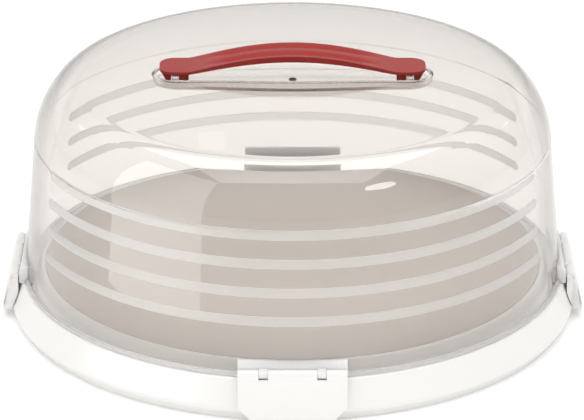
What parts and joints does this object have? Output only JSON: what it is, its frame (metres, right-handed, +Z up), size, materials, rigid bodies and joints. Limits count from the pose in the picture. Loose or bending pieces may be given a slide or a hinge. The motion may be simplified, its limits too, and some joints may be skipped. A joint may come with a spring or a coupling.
{
  "type": "cake carrier",
  "caption": "Round cake carrier with a white base, a clear dome hinged at the back, side and front clips and a red arched handle.",
  "frame": {"origin": "centre of the base on the table", "axes": "+Z up, -Y towards the front clip, +X to the right seen from the front"},
  "size_m": [0.3484, 0.3484, 0.1619],
  "materials": {
    "base_white": "smooth semi-gloss moulding",
    "plate_grey": "satin",
    "dome_clear": "clear, polished, with frosted bands",
    "handle_red": "semi-gloss",
    "clip_white": "smooth semi-gloss",
    "pin_white": "smooth"
  },
  "bodies": {
    "base": {"base_tray": "base_white", "hinge_plate": "clip_white"},
    "plate": {"serving_plate": "plate_grey"},
    "lid": {"dome_lid": "dome_clear", "hinge_pin": "pin_white", "clip_pin_front": "pin_white", "clip_pin_left": "pin_white", "clip_pin_right": "pin_white"},
    "handle": {"carry_handle": "handle_red", "handle_pin_left": "pin_white", "handle_pin_right": "pin_white"},
    "front_clip": {"clip_front": "clip_white"},
    "left_clip": {"clip_left": "clip_white"},
    "right_clip": {"clip_right": "clip_white"}
  },
  "joints": [
    {"name": "lid_hinge", "type": "hinge", "parent": "base", "child": "lid", "pos_m": [0, 0.1665, 0.0289], "axis": [-1, 0, 0], "range_deg": [0, 100]},
    {"name": "plate_lift", "type": "slide", "parent": "base", "child": "plate", "axis": [0, 0, 1], "range_m": [0, 0.08]},
    {"name": "handle_rock", "type": "hinge", "parent": "lid", "child": "handle", "pos_m": [0, 0, 0.1476], "axis": [1, 0, 0], "range_deg": [-15, 15]},
    {"name": "front_clip_hinge", "type": "hinge", "parent": "lid", "child": "front_clip", "pos_m": [0, -0.1665, 0.0289], "axis": [-1, 0, 0], "range_deg": [0, 130]},
    {"name": "left_clip_hinge", "type": "hinge", "parent": "lid", "child": "left_clip", "pos_m": [-0.1665, 0, 0.0289], "axis": [0, 1, 0], "range_deg": [0, 130]},
    {"name": "right_clip_hinge", "type": "hinge", "parent": "lid", "child": "right_clip", "pos_m": [0.1665, 0, 0.0289], "axis": [0, -1, 0], "range_deg": [0, 130]}
  ]
}
